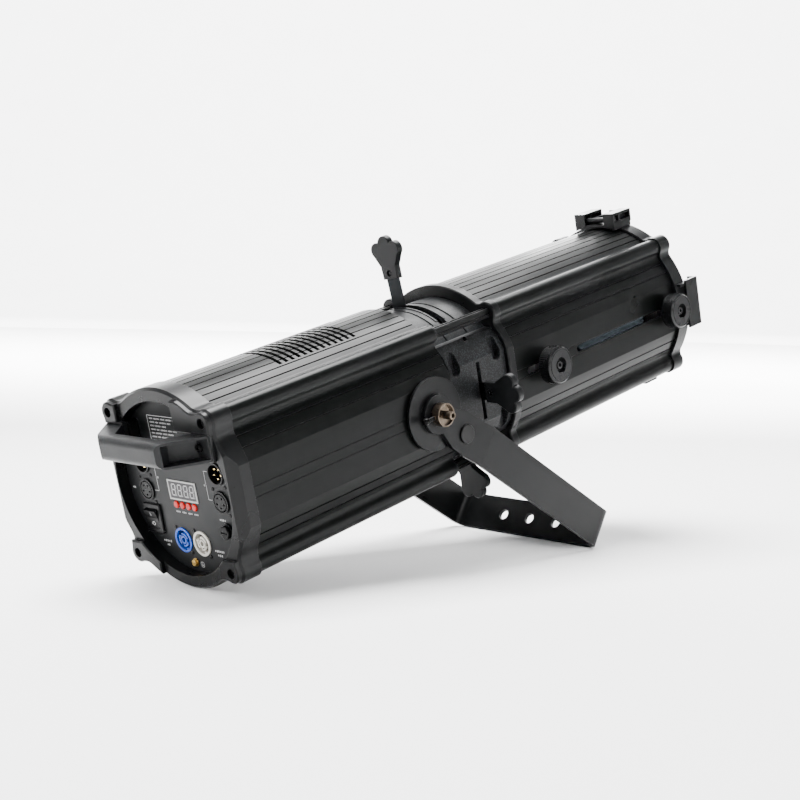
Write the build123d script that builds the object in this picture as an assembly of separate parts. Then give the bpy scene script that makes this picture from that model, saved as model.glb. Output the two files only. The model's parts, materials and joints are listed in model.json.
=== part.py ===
"""Ellipsoidal stage spotlight lying on its rear cap and on the crossbar of its yoke.

Everything is drawn in the lamp's own axes: X forwards along the optical axis, Y to the lamp's left
and Z up, with X = 0 at the rear of the end cap.  At the end the whole lamp is pitched nose-up until
the rear cap and the yoke's crossbar both touch the floor, and moved so that the origin is under the
middle of its box.
All lengths are in millimetres and all angles in degrees.
"""

import os
from math import atan2, cos, degrees, radians, sin

from build123d import *

# ---- cross-section shared by the extrusions, the cap, the flange and the front ring ----
CORNER = 72.0            # corner screws, across and up, from the optical axis
ROUND_R = 97.5           # round part of the extruded section
LOBE_R = 10.0            # corner lobe of the extruded section
COVE_R = 8.0             # hollow curve between a lobe and the round part
CAVITY_R = 94.0          # inside of the extrusions
FLAT_Y = 93.0            # flat band along each side
FLAT_WALL = 3.0
GROOVE_W = 1.5           # cooling grooves along the extrusions
GROOVE_DEPTH = 1.5
TOP_GROOVES = 12         # on the top, and the same underneath
TOP_PITCH = 5.8          # degrees between two of them
SIDE_ANGLES = (25.3, 32.2)
LINE_Z = 5.2             # fine lines along the flats
SCREW_R = 2.5            # corner screws, M5
SCREW_HEAD_R = 4.4
FIT = 0.05               # running clearance on a radius

# ---- stations along the optical axis ----
CAP_FRONT = 24.0
CAP_RIM = 1.5
CAP_CHAMFER = 2.5
CAP_EDGE_X = CAP_RIM + CAP_CHAMFER
PANEL_X = 13.6
PANEL_T = 2.0
GATE_REAR = 298.0
SHUTTER_X = 344.5
GATE_FRONT = 388.0
FLANGE_FRONT = 398.0
TUBE_FRONT = 697.0
RING_FRONT = 718.0

# ---- end pieces ----
CAP_R = 99.5
CAP_LOBE_R = 12.0
CAP_COVE_R = 18.0        # softer than the coves of the other pieces
CAP_OPENING_R = 86.5
CAP_LEDGE_R = 79.0
CAP_FLAT_Y = 95.0        # flat sides of the cap and the flange
BEVEL_FRONT = 12.0       # slanted sides of the cap run from the rim to here
BEVEL_HALF = 50.0
CORNER_REAR = -3.0       # corner blocks stand behind the rim
FLANGE_R = 101.0
FLANGE_BORE_R = 80.0
RING_BORE_R = 86.0

# ---- yoke ----
PIVOT_X = 264.0
ARM_ANGLE = 42.8         # arms below the optical axis, towards the front
ARM_LENGTH = 308.0       # pivot to the middle of the crossbar's thickness
STRAP_W = 43.0
STRAP_T = 5.0
EYE_R = 20.5
EYE_Y = 98.0             # inner face of the arm at the pivot
STRAP_Y = 104.0          # inner face of the arm beyond its joggle
JOGGLE = (58.0, 78.0)    # where the joggle starts and ends, from the pivot
YOKE_BEND_R = 14.0
CLAMP_HOLE_R = 6.25
CLAMP_HOLE_Y = 39.7
PIVOT_R = 5.0
ARM_BOLT_X = 47.0        # button-head screw through each arm, from the pivot
DISC_R = 38.0
DISC_Y = 95.0
BOSS_R = 30.0
CUP_R = 12.0             # head of the tilt bolt
STUD_R = 4.2
BAR_R = 2.3              # its tommy bar
BAR_END_R = 3.6

# ---- gate and shutters ----
CONDENSER_R = 61.5
DRUM_R = 88.0
DRUM_WALL = 4.0
CHEEK_R = 94.2           # rear plate of the gate casting
CHEEK = ((90.0, 34.0), (84.0, 47.0), (76.0, 57.0))
POCKET_X = (311.0, 375.0)
POCKET_Z = 38.0
APERTURE_R = 34.0
SHUTTER_PITCH = 2.0      # distance between neighbouring blades
BLADE_T = 1.0
BLADE_W = 90.0
STEM_W = 19.0
GRIP_LENGTH = 47.0
GRIP_T = 8.0
SHUTTER_TRAVEL = 33.0
TOP_SWING = 5.0          # the top shutter stands swung towards the left side
BOTTOM_SWING = 28.0      # the bottom shutter stands swung towards the right side

# ---- lens tube ----
SLOT_H = 8.0
FOCUS_X = 446.0
FOCUS_SLOT = (418.0, 464.0)
ZOOM_X = 678.5
ZOOM_SLOT = (505.0, 688.5)
KNOB_R = 20.7
KNOB_TEETH = 60
KNOB_WELL_R = 8.5
KNOB_FACES = (101.5, 117.0)
CARRIER_R = 88.0
CARRIER_T = 20.0
LENS_R = 76.0
LENS_BORE_R = 70.0
LENS_LIP = 3.0
GUIDE_R = 3.0
GUIDE_PITCH_R = 82.0

# ---- accessory slot in front of the ring ----
HOLDER_REAR = 701.0      # rear ends of the holders' ribs
HOLDER_PLATE = 710.0     # rear edges of their plates
LIP_X = 730.5            # rear faces of the holders' lips
HOLDER_W = 29.0          # half the length of a holder
HOLDER_T = 3.0
POST_REAR = 684.0
POST_Y = (14.0, 29.0)
POST_TOP = 117.0
LATCH_X = 690.0
LATCH_Z = 108.5
LATCH_PIN_R = 1.5

# ---- electrics and light engine ----
BOARD_X = 42.0
SUPPLY_X = (56.0, 138.0)
SUPPLY_W = 96.0
SUPPLY_H = 64.0
FAN_X = (146.0, 171.0)
FAN_SIZE = 120.0
FAN_BORE_R = 57.0
FAN_BLADES = 7
HUB_R = 21.0
FIN_X = 178.0            # rear edges of the heat sink's fins
FIN_PITCH = 7.0
SINK_X = (224.0, 232.0)  # its base
SINK_SIZE = 120.0
LED_FRONT = 236.0
LED_R = 16.0
CONDENSER_SEAT = 282.0

# ---- rear panel ----
BUTTON_R = 3.75
BUTTON_PITCH = 9.3
BUTTON_Z = -20.3
DISPLAY = (43.0, 20.0)
DISPLAY_Z = -5.4
XLR_Y = 57.0
XLR_MALE_Z = 17.5
XLR_FEMALE_Z = -10.0
XLR_R = 11.0
XLR_BORE_R = 9.3
PIN_PITCH_R = 5.2
XLR_SCREWS = (9.5, 12.0)
POWER_R = 12.5
POWER_BORE_R = 10.0
POWER_CORE_R = 7.0
POWER_Z = -56.5
POWER_IN_Y = 13.9
POWER_OUT_Y = -14.3
SWITCH_Y = 55.0
SWITCH_Z = -39.0
SWITCH_W = 27.0
SWITCH_H = 30.0
ROCKER_R = 10.3
FUSE_Y = -59.0
FUSE_Z = -38.0
GROUND_Y = 1.8
GROUND_Z = -77.8
SEAT_Y = 65.0            # seats of the handle's feet on the cap
SEAT_Z = 49.0
FOOT_SCREW_Y = 64.0
FOOT_Y = 66.0
FOOT_W = 27.0
FOOT_H = 28.0

CORNERS = [(sy * CORNER, sz * CORNER) for sy in (1, -1) for sz in (1, -1)]
nodes = {}


def node(name, *shapes):
    """Keep the solids of one piece, or of one set of identical fasteners, under its name."""
    nodes[name] = [solid for shape in shapes for solid in shape.solids()]


def along(sketch, x0, x1):
    """Extrude a sketch drawn as (Y, Z) from x0 to x1 along the optical axis."""
    return extrude(Plane.YZ.offset(x0) * sketch, x1 - x0)


def disc(r, x0, x1, y=0.0, z=0.0):
    """A round bar along X."""
    return along(Pos(y, z) * Circle(r), x0, x1)


def ring(outer, inner, x0, x1, y=0.0, z=0.0):
    return along(Pos(y, z) * (Circle(outer) - Circle(inner)), x0, x1)


def cross_bar(r, y0, y1, x=0.0, z=0.0):
    """A round bar along Y between y0 and y1."""
    low, high = sorted((y0, y1))
    return Pos(x, (low + high) / 2, z) * Rot(90, 0, 0) * Cylinder(r, high - low)


def block(x0, x1, y0, y1, z0, z1):
    centre = Pos((x0 + x1) / 2, (y0 + y1) / 2, (z0 + z1) / 2)
    return centre * Box(abs(x1 - x0), abs(y1 - y0), abs(z1 - z0))


def polar(r, angle):
    """Point at an angle from the Y axis towards Z."""
    return r * cos(radians(angle)), r * sin(radians(angle))


def outline(round_r, lobe_r, cove_r=COVE_R):
    """The lamp's outline: a circle with four corner lobes and hollow curves between."""
    shape = Circle(round_r) + [Pos(y, z) * Circle(lobe_r) for y, z in CORNERS]
    return fillet(shape.vertices(), cove_r)


def corner_holes(r, x0, x1):
    return [disc(r, x0, x1, y, z) for y, z in CORNERS]


# ---------------------------------------------------------------- extrusions

def extruded_section():
    """Finned section with flat sides, a hollow middle and a screw channel in each lobe."""
    top_angles = [90 + TOP_PITCH * (i - (TOP_GROOVES - 1) / 2) for i in range(TOP_GROOVES)]
    angles = top_angles + [a + 180 for a in top_angles]
    for a in SIDE_ANGLES:
        angles += [a, -a, 180 - a, 180 + a]
    shape = outline(ROUND_R, LOBE_R) & Rectangle(2 * FLAT_Y, 4 * ROUND_R)
    line_w, line_depth = 0.8, 0.6
    for a in angles:
        y, z = polar(ROUND_R, a)
        shape -= Pos(y, z) * Rot(0, 0, a) * Rectangle(2 * GROOVE_DEPTH, GROOVE_W)
    for side in (1, -1):
        for z in (LINE_Z, -LINE_Z):
            shape -= Pos(side * FLAT_Y, z) * Rectangle(2 * line_depth, line_w)
    shape -= Circle(CAVITY_R) & Rectangle(2 * (FLAT_Y - FLAT_WALL), 4 * ROUND_R)
    for y, z in CORNERS:
        shape -= Pos(y, z) * Circle(SCREW_R + FIT)
    return shape


def rear_housing(section):
    vent_count, vent_pitch, vent_w, vent_half, vent_start = 13, 8.3, 4.2, 40.0, 126.5
    body = along(section, CAP_FRONT, GATE_REAR)
    for i in range(vent_count):
        x = vent_start + vent_pitch * i
        body -= block(x - vent_w / 2, x + vent_w / 2, -vent_half, vent_half, 82, 110)
        body -= block(x - vent_w / 2, x + vent_w / 2, -vent_half, vent_half, -110, -82)
    for side in (1, -1):
        body -= cross_bar(BOSS_R / 2 + FIT, side * 80, side * 100, PIVOT_X)
    return body


def lens_tube(section):
    body = along(section, FLANGE_FRONT, TUBE_FRONT)
    for x0, x1 in (FOCUS_SLOT, ZOOM_SLOT):
        slot = extrude(SlotOverall(x1 - x0, SLOT_H), 10, both=True)
        body -= Pos((x0 + x1) / 2, -FLAT_Y, 0) * Rot(90, 0, 0) * slot
    return body


# ---------------------------------------------------------------- rear cap

def rear_cap():
    """Cast end cap: rim round a sunk panel, four corner blocks and two seats for the handle."""
    shell = outline(CAP_R, CAP_LOBE_R, CAP_COVE_R) & Rectangle(2 * CAP_FLAT_Y, 4 * CAP_R)
    body = along(shell, CAP_RIM, CAP_FRONT)
    body = chamfer(body.faces().sort_by(Axis.X)[0].edges(), CAP_CHAMFER)
    for side in (1, -1):
        slant = [(0, CAP_OPENING_R + 1), (BEVEL_FRONT, CAP_FLAT_Y), (BEVEL_FRONT, CAP_R), (0, CAP_R)]
        wedge = make_face(Polyline(*[(x, side * y) for x, y in slant], close=True))
        body -= extrude(wedge, BEVEL_HALF, both=True)
    body -= disc(CAP_OPENING_R, CAP_RIM - 1, PANEL_X + PANEL_T)
    body -= disc(CAP_LEDGE_R, PANEL_X, CAP_FRONT + 1)
    inset = outline(CAP_R - 2, CAP_LOBE_R - 2, CAP_COVE_R + 2)
    # Each region is (inner edge, outer edge, lowest, highest) of one corner block.
    regions = [(60, 90, 61, 90), (-90, -29, 61, 90), (38, 92, -92, -60), (-92, -41, -92, -60)]
    for y0, y1, z0, z1 in regions:
        area = inset & Pos((y0 + y1) / 2, (z0 + z1) / 2) * Rectangle(y1 - y0, z1 - z0)
        if z0 < 0:
            area -= Circle(CAP_OPENING_R)
        corner = along(area, CORNER_REAR, PANEL_X)
        body += chamfer(corner.faces().sort_by(Axis.X)[0].edges(), 1.2)
    for side in (1, -1):
        seat = Pos(side * SEAT_Y, SEAT_Z) * RectangleRounded(30, 26, 3)
        body += along(seat & Circle(CAP_OPENING_R + 3), 3, CAP_FRONT)
    for hole in corner_holes(SCREW_R + 0.3, CORNER_REAR - 1, CAP_FRONT + 1):
        body -= hole
    for hole in corner_holes(SCREW_HEAD_R + 0.6, CORNER_REAR - 1, 6):
        body -= hole
    for side in (1, -1):
        foot = Pos(side * FOOT_Y, SEAT_Z) * RectangleRounded(FOOT_W + 0.4, FOOT_H + 0.4, 4)
        body -= along(foot, CORNER_REAR - 1, 3)
        body -= disc(2.1, 0, CAP_FRONT + 1, side * FOOT_SCREW_Y, SEAT_Z)
    body -= disc(2.0, PANEL_X, CAP_FRONT + 1, GROUND_Y, GROUND_Z)
    switch = Pos(SWITCH_Y, SWITCH_Z) * Rectangle(SWITCH_W + 0.6, SWITCH_H + 0.6)
    return body - along(switch, PANEL_X - 3, CAP_FRONT + 1)


def corner_screw(y, z, x_head, x_tip):
    """Socket-head screw; the head is at x_head and the shank runs to x_tip."""
    way = 1 if x_tip > x_head else -1
    head = disc(SCREW_HEAD_R, *sorted((x_head, x_head + way * 5)), y, z)
    socket = along(Pos(y, z) * RegularPolygon(2.2, 6), *sorted((x_head - way, x_head + way * 2.5)))
    shank = disc(SCREW_R, *sorted((x_head + way * 5, x_tip)), y, z)
    return head - socket + shank


def rear_handle():
    """Moulded handle: two splayed legs with open pockets on their outer sides, and a grip bar."""
    bar_x, gap_x, leg_y, foot_y = -38.0, -19.0, 50.0, 79.0
    z_low, z_high, wall = 36.5, 61.0, 2.6
    outer = [(3, foot_y), (-4, foot_y - 3), (bar_x + 7, leg_y + 2), (bar_x, leg_y - 7)]
    inner = [(gap_x, leg_y - 12), (3, foot_y - 22)]
    points = outer + [(x, -y) for x, y in reversed(outer)]
    points += [(x, -y) for x, y in reversed(inner)] + inner
    plan = make_face(Polyline(*points, close=True))
    body = extrude(Pos(0, 0, z_low) * plan, z_high - z_low)
    grip = [e for e in body.edges().filter_by(Axis.Y) if e.center().X < gap_x + 1]
    body = fillet(grip, 7.0)
    for side in (1, -1):
        body += along(Pos(side * FOOT_Y, SEAT_Z) * RectangleRounded(FOOT_W, FOOT_H, 4), -1.5, 3)
        cut = [(-2.5, 90), (-2.5, 60), (-22, 41.5), (-34, 45), (-34, 90)]
        pocket = make_face(Polyline(*[(x, side * y) for x, y in cut], close=True))
        body -= extrude(Pos(0, 0, z_low + wall) * pocket, z_high - z_low - 2 * wall)
        body -= disc(2.2, -10, 4, side * FOOT_SCREW_Y, SEAT_Z)
    return body


def handle_screw(side):
    y = side * FOOT_SCREW_Y
    head = disc(4.0, -5.5, -2.5, y, SEAT_Z) - along(Pos(y, SEAT_Z) * RegularPolygon(2, 6), -6, -4)
    return head + disc(2.0, -2.5, 20, y, SEAT_Z)


# ---------------------------------------------------------------- rear panel and its fittings

def rear_panel():
    plate = Circle(CAP_OPENING_R - 0.3)
    for side in (1, -1):
        plate -= Pos(side * XLR_Y, XLR_MALE_Z) * Circle(XLR_R)
        plate -= Pos(side * XLR_Y, XLR_FEMALE_Z) * Circle(XLR_R)
        plate -= Pos(side * SEAT_Y, SEAT_Z) * RectangleRounded(31, 27, 3)
    for y in (POWER_IN_Y, POWER_OUT_Y):
        plate -= Pos(y, POWER_Z) * Circle(POWER_R)
    plate -= Pos(0, DISPLAY_Z) * Rectangle(DISPLAY[0] - 1, DISPLAY[1] - 1)
    plate -= Pos(SWITCH_Y, SWITCH_Z) * Rectangle(SWITCH_W - 4, SWITCH_H - 4)
    plate -= Pos(FUSE_Y, FUSE_Z) * Circle(6.2)
    plate -= Pos(GROUND_Y, GROUND_Z) * Circle(2.0)
    for i in range(4):
        plate -= Pos(BUTTON_PITCH * (i - 1.5), BUTTON_Z) * Circle(BUTTON_R + FIT)
    for y, z in connector_screw_places():
        plate -= Pos(y, z) * Circle(1.2)
    panel = along(plate, PANEL_X, PANEL_X + PANEL_T)
    # The plate is notched round the cap's two upper corner blocks.
    return panel - block(0, 30, -90, -24, 57, 95) - block(0, 30, 59, 95, 57, 95)


def connector_screw_places():
    """Two countersunk screws on opposite corners of each connector's flange."""
    places = []
    for side in (1, -1):
        for z in (XLR_MALE_Z, XLR_FEMALE_Z):
            for way in (1, -1):
                places.append((side * XLR_Y + way * XLR_SCREWS[0], z + way * XLR_SCREWS[1]))
    for y in (POWER_IN_Y, POWER_OUT_Y):
        for way in (1, -1):
            places.append((y + way * XLR_SCREWS[0], POWER_Z + way * XLR_SCREWS[1]))
    return places


def connector_screw(y, z):
    head = Pos(PANEL_X, y, z) * Rot(0, -90, 0) * extrude(Circle(1.9), 1.0)
    head = chamfer(head.edges().sort_by(Axis.X)[0], 0.5)
    slots = block(PANEL_X - 2, PANEL_X - 0.6, y - 1.2, y + 1.2, z - 0.25, z + 0.25)
    slots += block(PANEL_X - 2, PANEL_X - 0.6, y - 0.25, y + 0.25, z - 1.2, z + 1.2)
    return head - slots + disc(1.15, PANEL_X, PANEL_X + 6, y, z)


def xlr_male(y, z):
    """Round socket with a keyed wall; the pins stand on its floor."""
    shell = ring(XLR_R, XLR_BORE_R, PANEL_X - 1.8, PANEL_X + 14, y, z)
    shell += disc(XLR_R, PANEL_X + 12, PANEL_X + 17, y, z)
    return shell + block(PANEL_X, PANEL_X + 12.5, y - 1.3, y + 1.3, z - 9.6, z - 8.2)


def xlr_pins(y, z):
    pins = []
    for i in range(5):
        py, pz = polar(PIN_PITCH_R, 90 + 72 * (i + 0.5))
        pin = disc(1.1, PANEL_X + 1.0, PANEL_X + 12, y + py, z + pz)
        pins.append(chamfer(pin.edges().sort_by(Axis.X)[0], 0.4))
    return pins


def xlr_female(y, z):
    body = disc(XLR_R, PANEL_X - 1.8, PANEL_X + 17, y, z)
    body -= ring(XLR_BORE_R, XLR_BORE_R - 1.2, PANEL_X - 2, PANEL_X + 3, y, z)
    for i in range(5):
        py, pz = polar(PIN_PITCH_R, 90 + 72 * (i + 0.5))
        body -= disc(1.2, PANEL_X - 2, PANEL_X + 9, y + py, z + pz)
    return body


def power_socket(y):
    """Locking mains connector: ring wall, and a core level with it that has a slotted middle."""
    shell = ring(POWER_R, POWER_BORE_R, PANEL_X - 1.2, PANEL_X + 12, y, POWER_Z)
    shell += disc(POWER_R, PANEL_X + 12, PANEL_X + 18, y, POWER_Z)
    core = disc(POWER_CORE_R, PANEL_X - 0.8, PANEL_X + 12, y, POWER_Z)
    core -= ring(5.0, 4.2, PANEL_X - 1, PANEL_X + 1, y, POWER_Z)
    core -= disc(2.4, PANEL_X - 1, PANEL_X + 8, y, POWER_Z)
    for angle in (60, 180, 300):
        cy, cz = polar(POWER_CORE_R - 0.8, angle)
        core -= Pos(PANEL_X + 3, y + cy, POWER_Z + cz) * Rot(angle, 0, 0) * Box(9, 1.8, 3.4)
    for angle in (15, 135, 255):
        ky, kz = polar(POWER_BORE_R - 0.6, angle)
        shell += Pos(PANEL_X + 6, y + ky, POWER_Z + kz) * Rot(angle, 0, 0) * Box(12, 1.8, 2.6)
    return shell + core


def display_module():
    w, h = DISPLAY
    window = Rectangle(w - 3, h - 3)
    opening = Rectangle(w - 1, h - 1) - window
    frame = along(Pos(0, DISPLAY_Z) * (Rectangle(w, h) - window), PANEL_X - 0.8, PANEL_X)
    throat = along(Pos(0, DISPLAY_Z) * opening, PANEL_X - 0.8, PANEL_X + PANEL_T)
    case = along(Pos(0, DISPLAY_Z) * Rectangle(w, h), PANEL_X + PANEL_T, PANEL_X + 8)
    return frame + throat + case


def display_window():
    w, h = DISPLAY
    return along(Pos(0, DISPLAY_Z) * Rectangle(w - 3.2, h - 3.2), PANEL_X - 0.3, PANEL_X + PANEL_T)


def menu_button(i):
    y = BUTTON_PITCH * (i - 1.5)
    stem = disc(BUTTON_R, PANEL_X - 1.6, PANEL_X + 6, y, BUTTON_Z)
    stem = fillet(stem.edges().sort_by(Axis.X)[0], 1.5)
    return stem


def switch_frame():
    rim = RectangleRounded(SWITCH_W, SWITCH_H, 2) - Rectangle(SWITCH_W - 9, SWITCH_H - 9)
    sleeve = Rectangle(SWITCH_W - 4.4, SWITCH_H - 4.4) - Rectangle(SWITCH_W - 9, SWITCH_H - 9)
    body = along(Pos(SWITCH_Y, SWITCH_Z) * rim, PANEL_X - 2.5, PANEL_X)
    body = chamfer(body.faces().sort_by(Axis.X)[0].outer_wire().edges(), 0.8)
    body += along(Pos(SWITCH_Y, SWITCH_Z) * sleeve, PANEL_X, PANEL_X + 18)
    base = Pos(SWITCH_Y, SWITCH_Z) * Rectangle(SWITCH_W - 4.4, SWITCH_H - 4.4)
    return body + along(base, PANEL_X + 16, PANEL_X + 22)


def switch_rocker():
    """Rocker with a shallow V face and round ends, lying on its lower half."""
    face_low, face_high, centre = (-1.7, -15.4), (-7.1, 12.5), (-3.0, 0.6)
    behind_face = make_face(Polyline(centre, face_high, (7, 14), (7, -14), face_low, close=True))
    solid = extrude(Plane.XZ * (behind_face & Circle(ROCKER_R)), (SWITCH_W - 9.6) / 2, both=True)
    return Pos(PANEL_X, SWITCH_Y, SWITCH_Z) * solid


def fuse_holder():
    collar = ring(8.0, 5.2, PANEL_X - 2.2, PANEL_X, FUSE_Y, FUSE_Z)
    sleeve = ring(6.1, 5.2, PANEL_X, PANEL_X + 34, FUSE_Y, FUSE_Z)
    return collar + sleeve + disc(6.1, PANEL_X + 32, PANEL_X + 38, FUSE_Y, FUSE_Z)


def fuse_cap():
    """Low knurled cap with a coin slot; its carrier goes down into the holder."""
    top, under, r = PANEL_X - 6.0, PANEL_X - 2.3, 6.5
    knob = disc(r, top, under, FUSE_Y, FUSE_Z)
    knob = chamfer(knob.edges().sort_by(Axis.X)[0], 0.8)
    for i in range(18):
        y, z = polar(r + 0.1, 20 * i)
        knob -= disc(0.45, top + 1, under + 0.1, FUSE_Y + y, FUSE_Z + z)
    knob -= block(top - 1, top + 1.4, FUSE_Y - 4.5, FUSE_Y + 4.5, FUSE_Z - 0.7, FUSE_Z + 0.7)
    return knob + disc(5.1, under, PANEL_X + 30, FUSE_Y, FUSE_Z)


def ground_screw():
    washer = disc(4.2, PANEL_X - 1.0, PANEL_X, GROUND_Y, GROUND_Z)
    head = disc(3.4, PANEL_X - 3.4, PANEL_X - 1.0, GROUND_Y, GROUND_Z)
    head = fillet(head.edges().sort_by(Axis.X)[0], 0.8)
    slot = block(PANEL_X - 4, PANEL_X - 2.4, GROUND_Y - 5, GROUND_Y + 5, GROUND_Z - 0.5, GROUND_Z + 0.5)
    return washer + head - slot + disc(1.95, PANEL_X, PANEL_X + 8, GROUND_Y, GROUND_Z)


# ---------------------------------------------------------------- electrics and light engine

def control_board():
    """Circuit board standing behind the panel, with its two largest parts."""
    face = BOARD_X + 1.6
    board = block(BOARD_X, face, -45, 45, -30, 35)
    return board + block(face, face + 8.4, -30, 10, -15, 20) + block(face, face + 3.4, 18, 38, -20, -5)


def power_supply():
    """Vented sheet case of the power supply."""
    rear, front = SUPPLY_X
    wall, vents, vent_w = 2.0, 9, 4.0
    half_w, half_h = SUPPLY_W / 2, SUPPLY_H / 2
    case = block(rear, front, -half_w, half_w, -half_h, half_h)
    case -= block(rear + wall, front - wall, -half_w + wall, half_w - wall, -half_h + wall, half_h - wall)
    for i in range(vents):
        x = rear + 2 * vent_w * (i + 1)
        case -= block(x, x + vent_w, -half_w + 14, half_w - 14, half_h - wall - 1, half_h + 1)
    return case


def fan_frame():
    """Square fan frame with a round duct and four cross-struts carrying the motor seat."""
    screw = FAN_SIZE / 2 - 7.5
    frame = RectangleRounded(FAN_SIZE, FAN_SIZE, 8) - Circle(FAN_BORE_R)
    for y in (screw, -screw):
        for z in (screw, -screw):
            frame -= Pos(y, z) * Circle(2.2)
    rear, front = FAN_X
    struts = Circle(HUB_R - 1) + [Rot(0, 0, a) * Rectangle(2 * FAN_BORE_R + 2, 5) for a in (20, 110)]
    return along(frame, rear, front) + along(struts & Circle(FAN_BORE_R + 1), front - 3, front)


def fan_rotor():
    rear, front = FAN_X[0] + 2, FAN_X[1] - 3.5
    hub = fillet(disc(HUB_R, rear, front).edges().sort_by(Axis.X)[0], 2)
    for i in range(FAN_BLADES):
        blade = Pos(0, 0, 37) * Rot(0, 0, 38) * Box(1.8, 24, 34)
        blade = Pos((rear + front) / 2, 0, 0) * Rot(360 / FAN_BLADES * i, 0, 0) * blade
        hub += blade & disc(FAN_BORE_R - 1.5, rear + 1, front - 1)
    return hub


def heat_sink():
    half, fins = SINK_SIZE / 2, 17
    base = block(*SINK_X, -half, half, -half, half)
    for i in range(fins):
        y = FIN_PITCH * (i - (fins - 1) / 2)
        base += block(FIN_X, SINK_X[0] + 1, y - 1, y + 1, -half + 4, half - 4)
    return base


def led_module():
    face = SINK_X[1] + 2
    return block(SINK_X[1], face, -30, 30, -30, 30) + disc(LED_R, face, LED_FRONT)


def condenser():
    """Cone and flange that hold a plano-convex condenser lens in front of the light source."""
    length, wall = CONDENSER_SEAT - LED_FRONT, 2.5
    cone = Cone(LED_R + 8, CONDENSER_R + wall, length) - Cone(LED_R + 5.5, CONDENSER_R - 2, length)
    cone = Pos((LED_FRONT + CONDENSER_SEAT) / 2, 0, 0) * Rot(0, 90, 0) * cone
    return cone + ring(89.8, CONDENSER_R + FIT, CONDENSER_SEAT, CONDENSER_SEAT + 6)


def plano_convex(flat_x, rim_r, edge_t, bulge):
    """Lens with a flat rear face, a cylindrical edge and a spherical front."""
    front = flat_x + edge_t
    profile = Polyline((front, rim_r), (flat_x, rim_r), (flat_x, 0), (front + bulge, 0))
    radius = (rim_r ** 2 + bulge ** 2) / (2 * bulge)
    half = atan2(rim_r, radius - bulge) / 2
    centre = front + bulge - radius
    middle = (centre + radius * cos(half), radius * sin(half))
    dome = ThreePointArc((front + bulge, 0), middle, (front, rim_r))
    return revolve(make_face(profile + dome), Axis.X)


def condenser_lens():
    return plano_convex(CONDENSER_SEAT, CONDENSER_R, 4.5, 11)


# ---------------------------------------------------------------- gate section

def gate_casting():
    """Short drum between the two extrusions, with a faceted cheek on both sides."""
    body = along(outline(CHEEK_R, LOBE_R - 0.8) - Circle(DRUM_R - DRUM_WALL), GATE_REAR, GATE_REAR + 3)
    drum = ring(DRUM_R, DRUM_R - DRUM_WALL, GATE_REAR + 3, GATE_FRONT)
    for x in (SHUTTER_X - 16, SHUTTER_X + 16):
        drum -= ring(DRUM_R + 1, DRUM_R - 1.2, x - 1.5, x + 1.5)
    quarter = list(CHEEK)
    upper = quarter + [(-y, z) for y, z in reversed(quarter)]
    cheek = make_face(Polyline(*upper, *[(y, -z) for y, z in reversed(upper)], close=True))
    body += drum + along(cheek - Circle(DRUM_R - 1), GATE_REAR + 3, GATE_FRONT)
    # Slot round the drum for the shutters, left closed near the four corners.
    slot = Circle(CHEEK_R + 1) - Circle(DRUM_R - DRUM_WALL - 1)
    for a in (45, 135, 225, 315):
        slot -= Rot(0, 0, a) * Pos(DRUM_R, 0) * Rectangle(30, 24)
    narrow = slot & Rectangle(4 * CHEEK_R, 2 * CHEEK[-1][1] + 2)
    body -= along(slot - narrow, SHUTTER_X - 5, SHUTTER_X + 5)
    body -= along(narrow, SHUTTER_X - 2.6, SHUTTER_X + 2.6)
    for side in (1, -1):
        for x in POCKET_X:
            for z in (POCKET_Z, -POCKET_Z):
                pocket = extrude(SlotOverall(26, 13, 90), 14, both=True)
                pocket = Pos(x, side * CHEEK_R, z) * Rot(90, 0, 0) * pocket
                body -= pocket - disc(DRUM_R - 1, GATE_REAR, GATE_FRONT)
    for hole in corner_holes(SCREW_R + 0.3, GATE_REAR - 1, GATE_REAR + 4):
        body -= hole
    return body


def tie_rod(y, z):
    """Slotted square rod bridging one corner of the gate section."""
    bar = along(Pos(y, z) * Rectangle(10, 10), GATE_REAR + 3, GATE_FRONT)
    bar = chamfer(bar.edges().filter_by(Axis.X), 1.2)
    groove = along(Pos(y, z) * (Rectangle(12.4, 3) + Rectangle(3, 12.4)), GATE_REAR, GATE_FRONT + 1)
    bar -= groove - along(Pos(y, z) * Rectangle(7.6, 7.6), GATE_REAR, GATE_FRONT + 1)
    return bar - disc(SCREW_R + FIT, GATE_REAR, GATE_FRONT + 1, y, z)


def gate_plate():
    """Thin plate with the round aperture that the shutters cut into."""
    return ring(DRUM_R - DRUM_WALL, APERTURE_R, SHUTTER_X - 9, SHUTTER_X - 7)


def shutter_blade(plane_x, reach):
    """Blade pointing up; reach is how far it is pulled out from fully in."""
    swept = Pos(0, -SHUTTER_TRAVEL) * Circle(DRUM_R - DRUM_WALL - 2.0)
    plate = Pos(0, 25) * Rectangle(BLADE_W, 50) & swept
    stem_top = DRUM_R + 13.0
    stem = Pos(0, (30 + stem_top) / 2) * Rectangle(STEM_W, stem_top - 30)
    shape = Pos(0, reach) * (plate + stem)
    hole = Pos(0, reach + DRUM_R + 8) * Circle(1.6)
    return along(shape - hole, plane_x - BLADE_T / 2, plane_x + BLADE_T / 2)


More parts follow.
